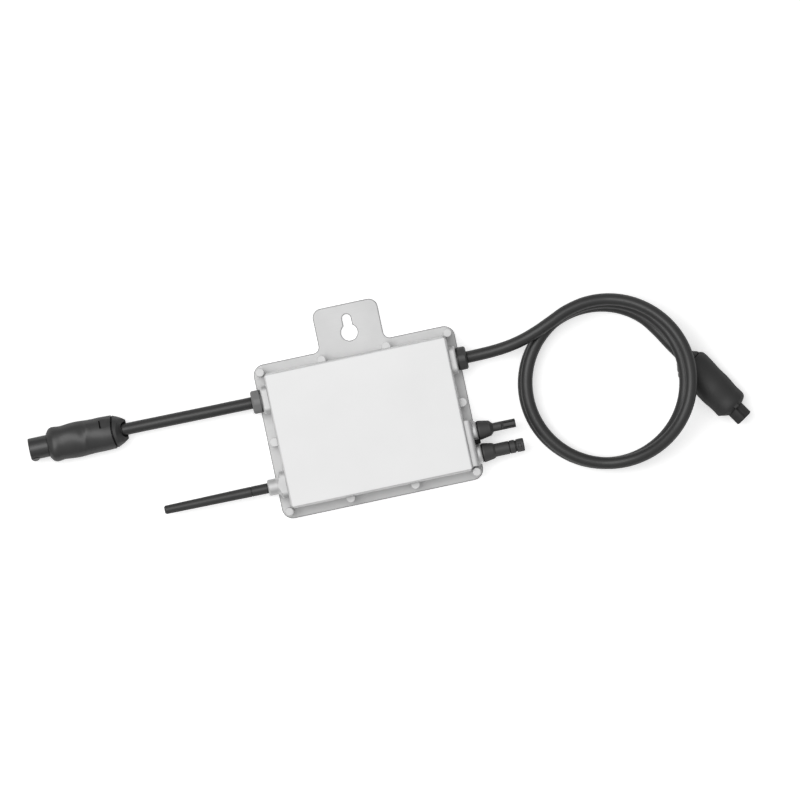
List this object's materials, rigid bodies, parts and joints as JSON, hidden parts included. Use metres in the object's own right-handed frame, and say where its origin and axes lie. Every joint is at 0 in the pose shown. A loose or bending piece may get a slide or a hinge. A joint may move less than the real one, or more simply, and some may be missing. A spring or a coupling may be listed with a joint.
{
  "type": "solar microinverter",
  "caption": "Flat die-cast microinverter on a back plate with a keyhole hanging tab, trunk cables with round connectors, fixed panel connectors and a stub antenna.",
  "frame": {"origin": "on the back face of the back plate, behind the centre of the casing", "axes": "+Z out of the front face, +X towards the panel connectors, +Y towards the hanging tab"},
  "size_m": [0.7116, 0.2183, 0.0543],
  "materials": {
    "casting": "die-cast, light satin grey",
    "plate": "plain sheet, satin",
    "steel_screws": "zinc plated",
    "gasket_rubber": "matt",
    "label_film": "matt light grey film",
    "gland_plastic": "fine moulded grain",
    "gland_grey_plastic": "mid grey, moulded",
    "cable_jacket": "smooth satin jacket",
    "connector_plastic": "satin, fine grain",
    "antenna_plastic": "satin",
    "brass": "plain",
    "tinned_copper": "tinned",
    "board": "green solder mask",
    "terminal_plastic": "green moulded",
    "core_insulation": "smooth",
    "ferrite": "matt dark ceramic",
    "bobbin_plastic": "moulded",
    "copper_winding": "enamelled copper",
    "capacitor_sleeve": "shrunk sleeve",
    "film_capacitor_case": "moulded",
    "relay_case": "moulded",
    "transistor_case": "moulded on a tinned tab",
    "thermal_silicone": "soft sheet",
    "radio_mask": "blue solder mask",
    "shield_tin": "tin-plated sheet",
    "lead_insulation": "smooth",
    "coax_jacket": "smooth"
  },
  "bodies": {
    "root": {"back_cover": "plate", "housing": "casting", "cover_gasket": "gasket_rubber", "cover_screws": "steel_screws", "front_label": "label_film", "gland_body_left": "gland_plastic", "gland_body_right": "gland_plastic", "gland_seal_left": "gasket_rubber", "gland_seal_right": "gasket_rubber", "gland_nut_left": "gland_grey_plastic", "gland_nut_right": "gland_plastic", "trunk_cable_left": "cable_jacket", "trunk_cable_right": "cable_jacket", "socket_grip": "connector_plastic", "socket_nut": "connector_plastic", "socket_seal": "gasket_rubber", "socket_insert": "connector_plastic", "socket_pins": "brass", "plug_grip": "connector_plastic", "plug_nut": "connector_plastic", "plug_seal": "gasket_rubber", "plug_insert": "connector_plastic", "plug_contacts": "brass", "thin_connector": "connector_plastic", "thin_connector_nut": "gland_plastic", "thin_connector_seal": "gasket_rubber", "thin_contact": "tinned_copper", "thick_connector": "connector_plastic", "thick_connector_nut": "gland_plastic", "thick_connector_seal": "gasket_rubber", "thick_contact": "tinned_copper", "vent_plug": "gland_plastic", "antenna_base": "brass", "antenna_whip": "antenna_plastic", "antenna_seal": "gasket_rubber", "antenna_nut": "brass", "main_board": "board", "board_screws": "steel_screws", "terminal_block_left": "terminal_plastic", "terminal_block_right": "terminal_plastic", "trunk_cores_left": "core_insulation", "trunk_cores_right": "core_insulation", "transformer_core": "ferrite", "transformer_bobbin": "bobbin_plastic", "transformer_winding": "copper_winding", "capacitor_1": "capacitor_sleeve", "capacitor_2": "capacitor_sleeve", "capacitor_3": "capacitor_sleeve", "capacitor_4": "capacitor_sleeve", "choke_core": "ferrite", "choke_winding": "copper_winding", "film_capacitor": "film_capacitor_case", "relay_1": "relay_case", "relay_2": "relay_case", "transistors": "transistor_case", "thermal_pad": "thermal_silicone", "radio_board": "radio_mask", "radio_shield": "shield_tin", "antenna_lead": "coax_jacket", "panel_leads": "lead_insulation"}
  },
  "joints": []
}
